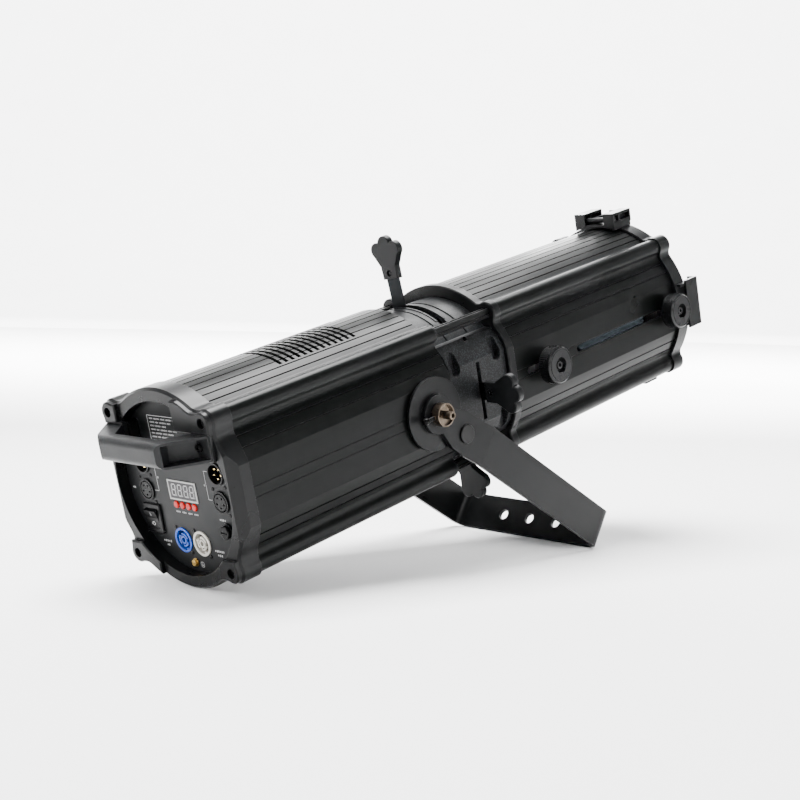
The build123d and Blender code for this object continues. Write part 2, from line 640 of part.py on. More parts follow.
def shutter_grip(plane_x, reach):
    """Flat moulded grip with a three-lobed end, screwed over the end of the blade's stem."""
    base = DRUM_R + 1.5
    tip = base + GRIP_LENGTH
    neck = [(11, base), (11.5, base + 14), (19, base + 27)]
    neck += [(-y, z) for y, z in reversed(neck)]
    shape = make_face(Polyline(*neck, close=True))
    for y, z, r in ((0, tip - 9, 9), (12.5, tip - 15, 8.5), (-12.5, tip - 15, 8.5)):
        shape += Pos(y, z) * Circle(r)
    shape += Pos(0, tip - 16) * Rectangle(34, 10)
    body = along(Pos(0, reach) * shape, plane_x - GRIP_T / 2, plane_x + GRIP_T / 2)
    flat = body.faces().sort_by(Axis.X)
    body = chamfer(flat[0].edges() + flat[-1].edges(), 0.9)
    stem = Pos(0, reach + base + 5.75) * Rectangle(STEM_W + 0.1, 11.6)
    body -= along(stem, plane_x - BLADE_T / 2 - 0.02, plane_x + BLADE_T / 2 + 0.02)
    well = Pos(0, reach + DRUM_R + 8)
    body -= along(well * Circle(3.6), plane_x - GRIP_T, plane_x - 1.6)
    return body + disc(1.5, plane_x - 3.0, plane_x + 3.0, 0, reach + DRUM_R + 8)


def shutter(name, plane_x, reach, angle):
    """One shutter, turned about the optical axis from pointing up; angle is towards the right side."""
    turn = Rot(angle, 0, 0)
    node(f"shutter_{name}", turn * shutter_blade(plane_x, reach))
    node(f"shutter_grip_{name}", turn * shutter_grip(plane_x, reach))


# ---------------------------------------------------------------- lens tube fittings

def front_flange():
    shape = outline(FLANGE_R, CAP_LOBE_R) & Rectangle(2 * CAP_FLAT_Y, 4 * FLANGE_R)
    body = along(shape - Circle(FLANGE_BORE_R), GATE_FRONT, FLANGE_FRONT)
    body = chamfer(body.faces().sort_by(Axis.X)[0].outer_wire().edges(), 1.2)
    for hole in corner_holes(SCREW_R + 0.3, GATE_FRONT - 1, FLANGE_FRONT + 1):
        body -= hole
    for y, z in guide_places():
        body -= disc(GUIDE_R, GATE_FRONT + 4, FLANGE_FRONT + 1, y, z)
    return body


def front_ring():
    body = along(outline(FLANGE_R, CAP_LOBE_R) - Circle(RING_BORE_R), TUBE_FRONT, RING_FRONT)
    body = chamfer(body.faces().sort_by(Axis.X)[-1].outer_wire().edges(), 2.0)
    body += ring(RING_BORE_R + 2, 76, TUBE_FRONT, TUBE_FRONT + 4)
    for hole in corner_holes(SCREW_R + 0.3, TUBE_FRONT - 1, RING_FRONT + 1):
        body -= hole
    for hole in corner_holes(SCREW_HEAD_R + 0.6, RING_FRONT - 6, RING_FRONT + 1):
        body -= hole
    for y, z in guide_places():
        body -= disc(GUIDE_R, TUBE_FRONT - 1, TUBE_FRONT + 2, y, z)
    return body


def guide_places():
    return [polar(GUIDE_PITCH_R, a) for a in (90, 210, 330)]


def carrier(x):
    """Lens carrier sliding on the three guide rods, with a tapped hole for its clamp knob."""
    half = CARRIER_T / 2
    body = ring(CARRIER_R, LENS_BORE_R, x - half, x + half)
    body -= ring(LENS_R + FIT, LENS_BORE_R - 1, x - half + LENS_LIP, x + half + 1)
    for y, z in guide_places():
        body -= disc(GUIDE_R + FIT, x - half - 1, x + half + 1, y, z)
    return body - cross_bar(3.0 + FIT, -70, -95, x)


def lens(x, bulge):
    """Plano-convex lens seated against the rear lip of its carrier."""
    return plano_convex(x - CARRIER_T / 2 + LENS_LIP, LENS_R, 6, bulge)


def clamp_knob(x):
    """Knurled knob with a sunk screw head; its shank goes through the slot into the carrier."""
    near, far = KNOB_FACES
    root = KNOB_R - 0.7
    knob = cross_bar(root, -near, -far, x)
    knob = chamfer(knob.edges().filter_by(GeomType.CIRCLE).sort_by(Axis.Y)[0], 1.4)
    tooth = Pos(root, 0) * Rectangle(1.4, 1.1)
    teeth = [Rot(0, 0, 360 / KNOB_TEETH * i) * tooth for i in range(KNOB_TEETH)]
    crown = Pos(x, -far + 1.6, 0) * Rot(90, 0, 0) * extrude(Sketch() + teeth, -(far - near - 3.0))
    knob += crown
    knob -= cross_bar(KNOB_R - 3.0, -far, -far + 0.5, x) - cross_bar(KNOB_R - 4.0, -far, -far + 0.5, x)
    knob -= cross_bar(KNOB_WELL_R, -far, -far + 5.0, x)
    socket = Pos(x, -far + 1.9, 0) * Rot(90, 0, 0) * extrude(RegularPolygon(2.3, 6), -2.6)
    knob += cross_bar(4.2, -far + 2.0, -far + 5.5, x) - socket
    return knob + cross_bar(6.5, -near, -(FLAT_Y + 0.3), x) + cross_bar(3.0, -(FLAT_Y + 0.5), -84, x)


def frame_holder(turn):
    """Channel that holds one edge of an accessory frame in front of the ring, drawn for the top."""
    wall_z = FLANGE_R + 1.0
    body = block(HOLDER_PLATE, LIP_X + HOLDER_T, -HOLDER_W, HOLDER_W, wall_z, wall_z + HOLDER_T)
    body += block(LIP_X, LIP_X + HOLDER_T, -HOLDER_W, HOLDER_W, wall_z - 9, wall_z + HOLDER_T)
    for y in (-24.5, -8.2, 8.2, 24.5):
        body += block(HOLDER_REAR, RING_FRONT, y - 1.5, y + 1.5, wall_z - 12, wall_z + 1)
    body += block(HOLDER_REAR + 2, RING_FRONT, -5, 5, wall_z - 2, wall_z)
    return Rot(turn, 0, 0) * (body - disc(FLANGE_R, TUBE_FRONT - 1, RING_FRONT))


def top_holder():
    """Saddle with two ribbed posts; the latch swings between them and frames drop in behind it."""
    body = ring(FLANGE_R + HOLDER_T, FLANGE_R, POST_REAR, RING_FRONT)
    body &= block(POST_REAR, RING_FRONT, -POST_Y[1], POST_Y[1], 80, 120)
    middle = sum(POST_Y) / 2
    for side in (1, -1):
        body += block(POST_REAR, RING_FRONT + 2, side * POST_Y[0], side * POST_Y[1], 95, POST_TOP)
        for face in POST_Y:
            web = middle + (1.5 if face > middle else -1.5)
            body -= block(POST_REAR + 4, POST_REAR + 11, side * face, side * web, 107, POST_TOP - 3)
            body -= block(POST_REAR + 14, RING_FRONT - 1, side * face, side * web, 107, POST_TOP - 3)
    body -= disc(FLANGE_R, POST_REAR - 1, RING_FRONT)
    body -= block(RING_FRONT, RING_FRONT + 3, -40, 40, 90, FLANGE_R + 1)
    return body - cross_bar(LATCH_PIN_R + FIT, -40, 40, LATCH_X, LATCH_Z)


def frame_latch():
    """Spring clip that closes the top of the accessory slot, hinged between the posts."""
    half = POST_Y[0] - 1.0
    body = block(LATCH_X + 2, LIP_X + HOLDER_T, -half, half, LATCH_Z - 1.5, LATCH_Z + 1.5)
    body += block(LIP_X, LIP_X + HOLDER_T, -half, half, FLANGE_R - 6, LATCH_Z + 1.5)
    body += cross_bar(3.0, -half, half, LATCH_X, LATCH_Z)
    body += block(LIP_X + HOLDER_T, LIP_X + HOLDER_T + 2, -half, half, LATCH_Z - 1.5, LATCH_Z + 3.5)
    body -= block(LATCH_X + 10, RING_FRONT - 6, -half + 5, half - 5, LATCH_Z - 5, LATCH_Z + 5)
    return body + cross_bar(LATCH_PIN_R, -POST_Y[1] + 1, POST_Y[1] - 1, LATCH_X, LATCH_Z)


# ---------------------------------------------------------------- yoke

ARM = Pos(PIVOT_X, 0, 0) * Rot(0, ARM_ANGLE, 0)


def yoke():
    """Bent flat strap, drawn with its arms along X from the pivot and then swung down."""
    inner, outer = ARM_LENGTH - STRAP_T / 2, ARM_LENGTH + STRAP_T / 2
    half = [(-EYE_R, EYE_Y), (JOGGLE[0], EYE_Y), (JOGGLE[1], STRAP_Y), (inner, STRAP_Y)]
    back = [(outer, STRAP_Y + STRAP_T), (JOGGLE[1], STRAP_Y + STRAP_T), (JOGGLE[0], EYE_Y + STRAP_T),
            (-EYE_R, EYE_Y + STRAP_T)]
    points = half + [(x, -y) for x, y in reversed(half)] + [(x, -y) for x, y in reversed(back)] + back
    plan = make_face(Polyline(*points, close=True))
    inside = [v for v in plan.vertices() if abs(v.X - inner) < 0.01]
    plan = fillet(inside, YOKE_BEND_R - STRAP_T)
    outside = [v for v in plan.vertices() if abs(v.X - outer) < 0.01]
    plan = fillet(outside, YOKE_BEND_R)
    strap = extrude(plan, STRAP_W / 2, both=True)
    edge = [(14, 14), (36, STRAP_W / 2), (outer + 5, STRAP_W / 2)]
    edge += [(x, -z) for x, z in reversed(edge)]
    side = Circle(EYE_R) + make_face(Polyline(*edge, close=True))
    strap &= extrude(Plane.XZ * side, 130, both=True)
    strap -= cross_bar(PIVOT_R + FIT, -130, 130)
    strap -= cross_bar(3.1, -130, 130, ARM_BOLT_X)
    for y in (-CLAMP_HOLE_Y, 0, CLAMP_HOLE_Y):
        strap -= disc(CLAMP_HOLE_R, inner - 5, outer + 5, y)
    return ARM * strap


def arm_bolt(side):
    """Flat button-head screw through the arm, with a thin nut inside."""
    face = EYE_Y + STRAP_T
    head = cross_bar(10, side * face, side * (face + 2.6), ARM_BOLT_X)
    rim = head.edges().filter_by(GeomType.CIRCLE).sort_by(Axis.Y)[-1 if side > 0 else 0]
    head = fillet(rim, 1.2)
    nut = cross_bar(5.5, side * (EYE_Y - 2.2), side * EYE_Y, ARM_BOLT_X)
    return ARM * (head + nut + cross_bar(3.0, side * (EYE_Y - 0.5), side * (face + 0.5), ARM_BOLT_X))


def friction_disc(side):
    return ARM * (cross_bar(DISC_R, side * DISC_Y, side * EYE_Y)
                  - cross_bar(PIVOT_R + FIT, side * 80, side * 110))


def tilt_bolt(side):
    """Clamp bolt: cupped head round a stud with a hexagon socket, and the tommy bar through it."""
    face = EYE_Y + STRAP_T
    rim_y, end_y, bar_y = face + 10.0, face + 19.0, face + 0.3 + BAR_END_R
    head = cross_bar(CUP_R, side * (face + 0.3), side * rim_y)
    head -= cross_bar(CUP_R - 1.3, side * (face + 6.8), side * (rim_y + 1))
    stud = cross_bar(STUD_R, side * face, side * end_y)
    rim = stud.edges().filter_by(GeomType.CIRCLE).sort_by(Axis.Y)[-1 if side > 0 else 0]
    stud = chamfer(rim, 0.6)
    stud -= Pos(0, side * end_y, 0) * Rot(90, 0, 0) * extrude(RegularPolygon(2.7, 6), 4, both=True)
    bolt = head + stud + cross_bar(PIVOT_R, side * 84, side * (face + 0.5))
    bolt -= Pos(-4.5, side * bar_y, 0) * Rot(0, 90, 0) * Cylinder(BAR_R, 21)
    rod = Pos(-9, side * bar_y, 0) * Rot(0, 90, 0) * Cylinder(BAR_R, 30)
    end = Cylinder(BAR_END_R, 8)
    end = fillet(end.edges().filter_by(GeomType.CIRCLE), BAR_END_R - 0.6)
    rod += Pos(-24, side * bar_y, 0) * Rot(0, 90, 0) * end
    place = Pos(PIVOT_X, 0, 0)
    return place * bolt, place * rod


def pivot_boss(side):
    """Round pad screwed on the housing's flat, with its threaded sleeve inside the wall."""
    pad = cross_bar(BOSS_R, side * FLAT_Y, side * (DISC_Y - 0.2), PIVOT_X)
    sleeve = cross_bar(BOSS_R / 2, side * 82, side * FLAT_Y, PIVOT_X)
    return pad + sleeve - cross_bar(PIVOT_R + FIT, side * 70, side * 110, PIVOT_X)


# ---------------------------------------------------------------- the whole lamp

def build():
    section = extruded_section()
    node("rear_housing", rear_housing(section))
    node("lens_tube", lens_tube(section))
    node("rear_cap", rear_cap())
    node("section_screws", *[corner_screw(y, z, 0.8, 40) for y, z in CORNERS],
         *[corner_screw(y, z, RING_FRONT - 0.8, 660) for y, z in CORNERS])
    node("rear_handle", rear_handle())
    node("handle_screws", handle_screw(1), handle_screw(-1))

    node("rear_panel", rear_panel())
    node("connector_screws", *[connector_screw(y, z) for y, z in connector_screw_places()])
    node("dmx_male_sockets", *[xlr_male(side * XLR_Y, XLR_MALE_Z) for side in (1, -1)])
    node("dmx_male_pins", *[pin for side in (1, -1) for pin in xlr_pins(side * XLR_Y, XLR_MALE_Z)])
    node("dmx_female_sockets", *[xlr_female(side * XLR_Y, XLR_FEMALE_Z) for side in (1, -1)])
    node("power_inlet", power_socket(POWER_IN_Y))
    node("power_outlet", power_socket(POWER_OUT_Y))
    node("display_module", display_module())
    node("display_window", display_window())
    for i in range(4):
        node(f"menu_button_{i + 1}", menu_button(i))
    node("switch_frame", switch_frame())
    node("switch_rocker", switch_rocker())
    node("fuse_holder", fuse_holder())
    node("fuse_cap", fuse_cap())
    node("ground_screw", ground_screw())

    node("control_board", control_board())
    node("power_supply", power_supply())
    node("fan_frame", fan_frame())
    node("fan_rotor", fan_rotor())
    node("heat_sink", heat_sink())
    node("led_module", led_module())
    node("condenser_holder", condenser())
    node("condenser_lens", condenser_lens())

    node("gate_casting", gate_casting())
    node("tie_rods", *[tie_rod(y, z) for y, z in CORNERS])
    node("gate_plate", gate_plate())
    first = SHUTTER_X - 1.5 * SHUTTER_PITCH
    shutter("top", first, 31.0, -TOP_SWING)
    shutter("right", first + SHUTTER_PITCH, 9.5, 90)
    shutter("left", first + 2 * SHUTTER_PITCH, 9.5, -90)
    shutter("bottom", first + 3 * SHUTTER_PITCH, 2.0, 180 - BOTTOM_SWING)

    node("front_flange", front_flange())
    node("front_ring", front_ring())
    node("guide_rods", *[disc(GUIDE_R, GATE_FRONT + 4, TUBE_FRONT + 2, y, z) for y, z in guide_places()])
    node("focus_carrier", carrier(FOCUS_X))
    node("focus_lens", lens(FOCUS_X, 18))
    node("focus_knob", clamp_knob(FOCUS_X))
    node("zoom_carrier", carrier(ZOOM_X))
    node("zoom_lens", lens(ZOOM_X, 16))
    node("zoom_knob", clamp_knob(ZOOM_X))
    node("frame_holders", top_holder(), *[frame_holder(turn) for turn in (90, 180, 270)])
    node("frame_latch", frame_latch())

    node("yoke", yoke())
    node("arm_bolts", arm_bolt(1), arm_bolt(-1))
    node("friction_discs", friction_disc(1), friction_disc(-1))
    node("tilt_bolt_left", *tilt_bolt(1))
    node("tilt_bolt_right", *tilt_bolt(-1))
    node("pivot_bosses", pivot_boss(1), pivot_boss(-1))


def floor_pitch():
    """Angle at which the rear cap's lower edge and the crossbar's lower edge are level."""
    reach = ARM_LENGTH + STRAP_T / 2
    down = radians(ARM_ANGLE)
    bar_x = PIVOT_X + reach * cos(down) - STRAP_W / 2 * sin(down)
    bar_z = -reach * sin(down) - STRAP_W / 2 * cos(down)
    return degrees(atan2(-CAP_R - bar_z, bar_x - CAP_EDGE_X))


def place_on_floor():
    """Pitch the lamp nose-up onto the floor, with the origin under the middle of its box."""
    pitch = floor_pitch()
    turn = Rot(0, -pitch, 0)
    placed = {name: [turn * solid for solid in solids] for name, solids in nodes.items()}
    boxes = [solid.bounding_box() for solids in placed.values() for solid in solids]
    middle = (min(b.min.X for b in boxes) + max(b.max.X for b in boxes)) / 2
    floor = CAP_EDGE_X * sin(radians(pitch)) - CAP_R * cos(radians(pitch))
    shift = Pos(-middle, 0, -floor)
    print(f"pitch {pitch:.4f} deg, shift x {-middle:.4f} z {-floor:.4f} mm")
    return {name: [shift * solid for solid in solids] for name, solids in placed.items()}


def write_steps():
    os.makedirs("parts", exist_ok=True)
    for name, solids in place_on_floor().items():
        shape = solids[0] if len(solids) == 1 else Compound(children=solids)
        export_step(shape, f"parts/{name}.step")


build()
write_steps()
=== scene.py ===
import json
from math import atan2, cos, pi, radians, sin

import bmesh
import bpy
from mathutils import Matrix, Vector


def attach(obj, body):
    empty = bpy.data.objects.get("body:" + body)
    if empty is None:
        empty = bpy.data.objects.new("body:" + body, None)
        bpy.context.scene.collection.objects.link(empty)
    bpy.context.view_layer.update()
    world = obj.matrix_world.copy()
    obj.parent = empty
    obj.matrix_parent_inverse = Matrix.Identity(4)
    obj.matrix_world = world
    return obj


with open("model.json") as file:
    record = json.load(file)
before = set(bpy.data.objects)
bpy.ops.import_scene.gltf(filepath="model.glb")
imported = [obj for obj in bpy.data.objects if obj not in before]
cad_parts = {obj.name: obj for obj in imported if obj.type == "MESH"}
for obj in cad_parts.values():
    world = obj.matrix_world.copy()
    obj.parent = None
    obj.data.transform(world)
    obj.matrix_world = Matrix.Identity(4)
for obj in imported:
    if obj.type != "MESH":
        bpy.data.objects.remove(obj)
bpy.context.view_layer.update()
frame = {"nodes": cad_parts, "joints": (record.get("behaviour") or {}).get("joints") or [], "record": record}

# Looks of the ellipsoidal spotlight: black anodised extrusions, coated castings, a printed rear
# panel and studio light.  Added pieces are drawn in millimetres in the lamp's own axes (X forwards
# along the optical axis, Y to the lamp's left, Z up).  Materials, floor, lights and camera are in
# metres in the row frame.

NODES = frame["nodes"]
JOINTS = {joint["name"]: joint for joint in frame["joints"]}

# ---------------------------------------------------------------- the lamp's axes in the row frame

PIVOT_X = 264.0
OPTICAL = Vector(JOINTS["fan_spin"]["axis"])
PITCH = atan2(OPTICAL.z, OPTICAL.x)
LAMP = (
    Matrix.Translation(JOINTS["tilt"]["pos_m"])
    @ Matrix.Rotation(-PITCH, 4, "Y")
    @ Matrix.Scale(0.001, 4)
    @ Matrix.Translation((-PIVOT_X, 0, 0))
)
PIVOT_TURNED = Matrix.Rotation(PITCH, 3, "Y") @ Vector(JOINTS["tilt"]["pos_m"])

# ---------------------------------------------------------------- places taken over from the design

PANEL_X = 13.6           # outer face of the rear panel
WINDOW_PROUD = 0.3       # display window over the panel
DISPLAY_Z = -5.4
BUTTON_PITCH = 9.3       # also the pitch of the digits above the buttons
XLR_MALE_Z = 17.5
XLR_FEMALE_Z = -10.0
POWER_IN_Y = 13.9
POWER_OUT_Y = -14.3
POWER_Z = -56.5
SWITCH_Y = 55.0
SWITCH_Z = -39.0
EARTH_Y = -7.7
EARTH_Z = -79.0
SHUTTER_X = 344.5
DRUM_R = 88.0

PRINT_T = 0.05           # thickness of printed marks
LINE_W = 0.35            # width of printed lines


# ---------------------------------------------------------------- node helpers

NOISE_LOW = 0.3          # range that holds nearly all values of a noise
NOISE_HIGH = 0.7


class Shader:
    """A material's node tree with short ways to add what every surface here needs."""

    def __init__(self, name):
        self.material = bpy.data.materials.new(name)
        self.material.use_nodes = True
        self.nodes = self.material.node_tree.nodes
        self.links = self.material.node_tree.links
        self.surface = self.nodes["Principled BSDF"]
        coordinates = self.nodes.new("ShaderNodeTexCoord")
        turn = self.nodes.new("ShaderNodeMapping")
        turn.inputs["Rotation"].default_value = (0, PITCH, 0)
        self.links.new(coordinates.outputs["Object"], turn.inputs["Vector"])
        self.place = turn.outputs["Vector"]
        self.normal = None

    def set(self, **values):
        """Give inputs of the surface a value; an underscore stands for a space in a name."""
        for name, value in values.items():
            self.surface.inputs[name.replace("_", " ")].default_value = value
        return self

    def noise(self, scale, detail=4.0, stretch=(1, 1, 1), roughness=0.55):
        mapping = self.nodes.new("ShaderNodeMapping")
        mapping.inputs["Scale"].default_value = stretch
        self.links.new(self.place, mapping.inputs["Vector"])
        texture = self.nodes.new("ShaderNodeTexNoise")
        texture.inputs["Scale"].default_value = scale
        texture.inputs["Detail"].default_value = detail
        texture.inputs["Roughness"].default_value = roughness
        self.links.new(mapping.outputs["Vector"], texture.inputs["Vector"])
        return texture.outputs["Fac"]

    def cells(self, scale):
        texture = self.nodes.new("ShaderNodeTexVoronoi")
        texture.inputs["Scale"].default_value = scale
        self.links.new(self.place, texture.inputs["Vector"])
        return texture.outputs["Distance"]

    def ramp(self, value, low, high):
        """Colours from low to high over the range of a noise."""
        ramp = self.nodes.new("ShaderNodeValToRGB")
        stops = zip(ramp.color_ramp.elements, (NOISE_LOW, NOISE_HIGH), (low, high))
        for element, position, colour in stops:
            element.position = position
            element.color = (*colour, 1)
        self.links.new(value, ramp.inputs["Fac"])
        return ramp.outputs["Color"]

    def spread(self, value, low, high, start=NOISE_LOW, end=NOISE_HIGH):
        """A number from low to high as value goes from start to end."""
        remap = self.nodes.new("ShaderNodeMapRange")
        limits = {"From Min": start, "From Max": end, "To Min": low, "To Max": high}
        for name, number in limits.items():
            remap.inputs[name].default_value = number
        self.links.new(value, remap.inputs["Value"])
        return remap.outputs["Result"]

    def mix(self, factor, colour_a, colour_b):
        """Colour a where the factor is 0 and colour b where it is 1."""
        mix = self.nodes.new("ShaderNodeMix")
        mix.data_type = "RGBA"
        colours = [socket for socket in mix.inputs if socket.type == "RGBA"]
        self.links.new(factor, mix.inputs[0])
        self.links.new(colour_a, colours[0])
        self.links.new(colour_b, colours[1])
        return [socket for socket in mix.outputs if socket.type == "RGBA"][0]

    def colour(self, output):
        self.links.new(output, self.surface.inputs["Base Color"])
        return self

    def roughness(self, output):
        self.links.new(output, self.surface.inputs["Roughness"])
        return self

    def rounded(self, radius_m):
        """Soft highlights along hard edges."""
        bevel = self.nodes.new("ShaderNodeBevel")
        bevel.samples = 4
        bevel.inputs["Radius"].default_value = radius_m
        self.normal = bevel.outputs["Normal"]
        self.links.new(self.normal, self.surface.inputs["Normal"])
        return self

    def bump(self, height, depth_m, strength):
        """Relief on top of the rounding or relief given before."""
        bump = self.nodes.new("ShaderNodeBump")
        bump.inputs["Strength"].default_value = strength
        bump.inputs["Distance"].default_value = depth_m
        self.links.new(height, bump.inputs["Height"])
        if self.normal:
            self.links.new(self.normal, bump.inputs["Normal"])
        self.normal = bump.outputs["Normal"]
        self.links.new(self.normal, self.surface.inputs["Normal"])
        return self


# ---------------------------------------------------------------- materials

COAT_IOR = 1.45
COOL = (0.90, 1.0, 1.10)
GREEN = (0.80, 1.08, 0.96)

FINE_EDGE = 0.00015      # radii with which the shading rounds edges
CRISP_EDGE = 0.0003
SOFT_EDGE = 0.0006
FINE_MARKS = 0.00002     # depth of die, rolling and turning marks


def grey(value, tint=(1.0, 1.0, 1.0)):
    return tuple(value * channel for channel in tint)


def scaled(colour, factor):
    return tuple(min(1.0, factor * channel) for channel in colour)


def anodised():
    """Black anodised extrusion: die lines along the optical axis and slight handling marks."""
    s = Shader("anodised_black").set(IOR=COAT_IOR, Specular_IOR_Level=0.11)
    lines = s.noise(1.0, detail=3, stretch=(6, 1400, 1400))
    marks = s.noise(14, detail=6)
    handled = s.spread(marks, 0.0, 1.0, start=0.45, end=0.65)
    greenish = s.ramp(lines, grey(0.0008, GREEN), grey(0.0020, GREEN))
    bluish = s.ramp(lines, grey(0.0012, COOL), grey(0.0028, COOL))
    s.colour(s.mix(handled, greenish, bluish))
    s.roughness(s.spread(marks, 0.27, 0.36))
    return s.rounded(CRISP_EDGE).bump(lines, FINE_MARKS, 0.25).bump(marks, 0.0002, 0.04).material


def coated(name, base, rough, gloss=0.16, grain=1500, depth=0.00006, edge=SOFT_EDGE):
    """Powder coat or painted casting: fine pimples and faint clouding."""
    s = Shader(name).set(IOR=COAT_IOR, Specular_IOR_Level=gloss)
    pimples = s.noise(grain, detail=2)
    clouds = s.noise(22, detail=5)
    s.colour(s.ramp(clouds, grey(base * 0.8, COOL), grey(base * 1.35, COOL)))
    s.roughness(s.spread(clouds, rough - 0.06, rough + 0.07))
    return s.rounded(edge).bump(pimples, depth, 0.5).material


def cast_gate():
    """Tumbled grey-black casting with metallic specks."""
    s = Shader("cast_gate").set(IOR=COAT_IOR, Specular_IOR_Level=0.16)
    between = s.spread(s.cells(640), 0.0, 1.0, start=0.22, end=0.50)
    clouds = s.noise(30, detail=8, roughness=0.7)
    specks = s.ramp(clouds, grey(0.008, COOL), grey(0.030, COOL))
    skin = s.ramp(clouds, grey(0.0005, COOL), grey(0.003, COOL))
    s.colour(s.mix(between, specks, skin))
    s.roughness(s.spread(clouds, 0.34, 0.52))
    return s.rounded(SOFT_EDGE).bump(s.noise(700, detail=3), 0.00016, 0.5).material


def moulded(name, base, rough, gloss=0.16, grain=900, depth=0.00012, edge=SOFT_EDGE):
    """Moulded plastic with a leather-like spark-eroded grain."""
    s = Shader(name).set(IOR=COAT_IOR, Specular_IOR_Level=gloss)
    leather = s.cells(grain)
    clouds = s.noise(40, detail=4)
    s.colour(s.ramp(clouds, grey(base * 0.85, COOL), grey(base * 1.25, COOL)))
    s.roughness(s.spread(clouds, rough - 0.05, rough + 0.06))
    return s.rounded(edge).bump(leather, depth, 0.35).material


def glossy(name, colour, rough=0.25):
    """Smooth plastic with barely uneven colour."""
    s = Shader(name).set(IOR=COAT_IOR, Specular_IOR_Level=0.25)
    clouds = s.noise(60, detail=3)
    s.colour(s.ramp(clouds, scaled(colour, 0.9), scaled(colour, 1.08)))
    s.roughness(s.spread(clouds, rough - 0.04, rough + 0.05))
    return s.rounded(FINE_EDGE).bump(s.noise(500, detail=2), FINE_MARKS, 0.3).material


def metal(name, colour, rough, stretch=(1, 1, 1)):
    """Bare or plated metal with turning or rolling marks."""
    s = Shader(name).set(Metallic=1.0)
    marks = s.noise(700, detail=3, stretch=stretch)
    tarnish = s.noise(50, detail=5)
    s.colour(s.ramp(tarnish, scaled(colour, 0.8), colour))
    s.roughness(s.spread(tarnish, rough - 0.07, rough + 0.09))
    return s.rounded(CRISP_EDGE).bump(marks, FINE_MARKS, 0.5).material


def clamp_steel():
    """Zinc-plated cup and stud of the tilt bolts; beyond the cup the tommy bars get painted shade,
    near-black, for the shadow they lie in.
    """
    plated_to, shade_from = 0.0127, 0.0130      # distances from the tilt axis
    s = Shader("clamp_steel").set(Metallic=1.0)
    away = s.nodes.new("ShaderNodeVectorMath")
    away.operation = "SUBTRACT"
    away.inputs[1].default_value = PIVOT_TURNED
    s.links.new(s.place, away.inputs[0])
    split = s.nodes.new("ShaderNodeSeparateXYZ")
    s.links.new(away.outputs["Vector"], split.inputs["Vector"])
    flat = s.nodes.new("ShaderNodeCombineXYZ")
    for axis in ("X", "Z"):
        s.links.new(split.outputs[axis], flat.inputs[axis])
    reach = s.nodes.new("ShaderNodeVectorMath")
    reach.operation = "LENGTH"
    s.links.new(flat.outputs["Vector"], reach.inputs[0])
    beyond = s.spread(reach.outputs["Value"], 0.0, 1.0, start=plated_to, end=shade_from)
    tarnish = s.noise(60, detail=5)
    plated = s.ramp(tarnish, (0.085, 0.065, 0.048), (0.14, 0.115, 0.09))
    # painted shade: beyond the cup the tommy bars are coloured near-black for the shadow they lie in
    painted_shade = s.ramp(tarnish, grey(0.004), grey(0.008))
    s.colour(s.mix(beyond, plated, painted_shade))
    s.roughness(s.spread(tarnish, 0.24, 0.36))
    return s.rounded(CRISP_EDGE).bump(s.noise(700, detail=3), FINE_MARKS, 0.5).material


def glass():
    """Optical glass with a near-black tint: painted shade for the unlit inside of the tube as seen from
    outside.
    """
    s = Shader("optical_glass").set(Transmission_Weight=1.0, IOR=1.52)
    dust_and_shade = s.noise(80, detail=6)
    # near-black tint is painted shade for the unlit tube; the noise varies it a little, and the roughness as
    # dust
    s.colour(s.ramp(dust_and_shade, (0.006, 0.008, 0.009), (0.010, 0.012, 0.014)))
    s.roughness(s.spread(dust_and_shade, 0.0, 0.02, start=0.55, end=0.8))
    return s.material


def smoked_window():
    """Display window: grey filter with a satin sheen."""
    s = Shader("display_window").set(IOR=COAT_IOR, Specular_IOR_Level=0.15)
    clouds = s.noise(90, detail=3)
    s.colour(s.ramp(clouds, (0.020, 0.019, 0.021), (0.030, 0.029, 0.031)))
    s.roughness(s.spread(clouds, 0.16, 0.24))
    return s.bump(s.noise(400), 0.00001, 0.3).material


def ink(name, base):
    """Screen-printed marks, slightly uneven in cover."""
    s = Shader(name).set(IOR=COAT_IOR)
    cover = s.noise(1200, detail=3)
    s.colour(s.ramp(cover, grey(base * 0.82), grey(base)))
    s.roughness(s.spread(cover, 0.45, 0.6))
    return s.material


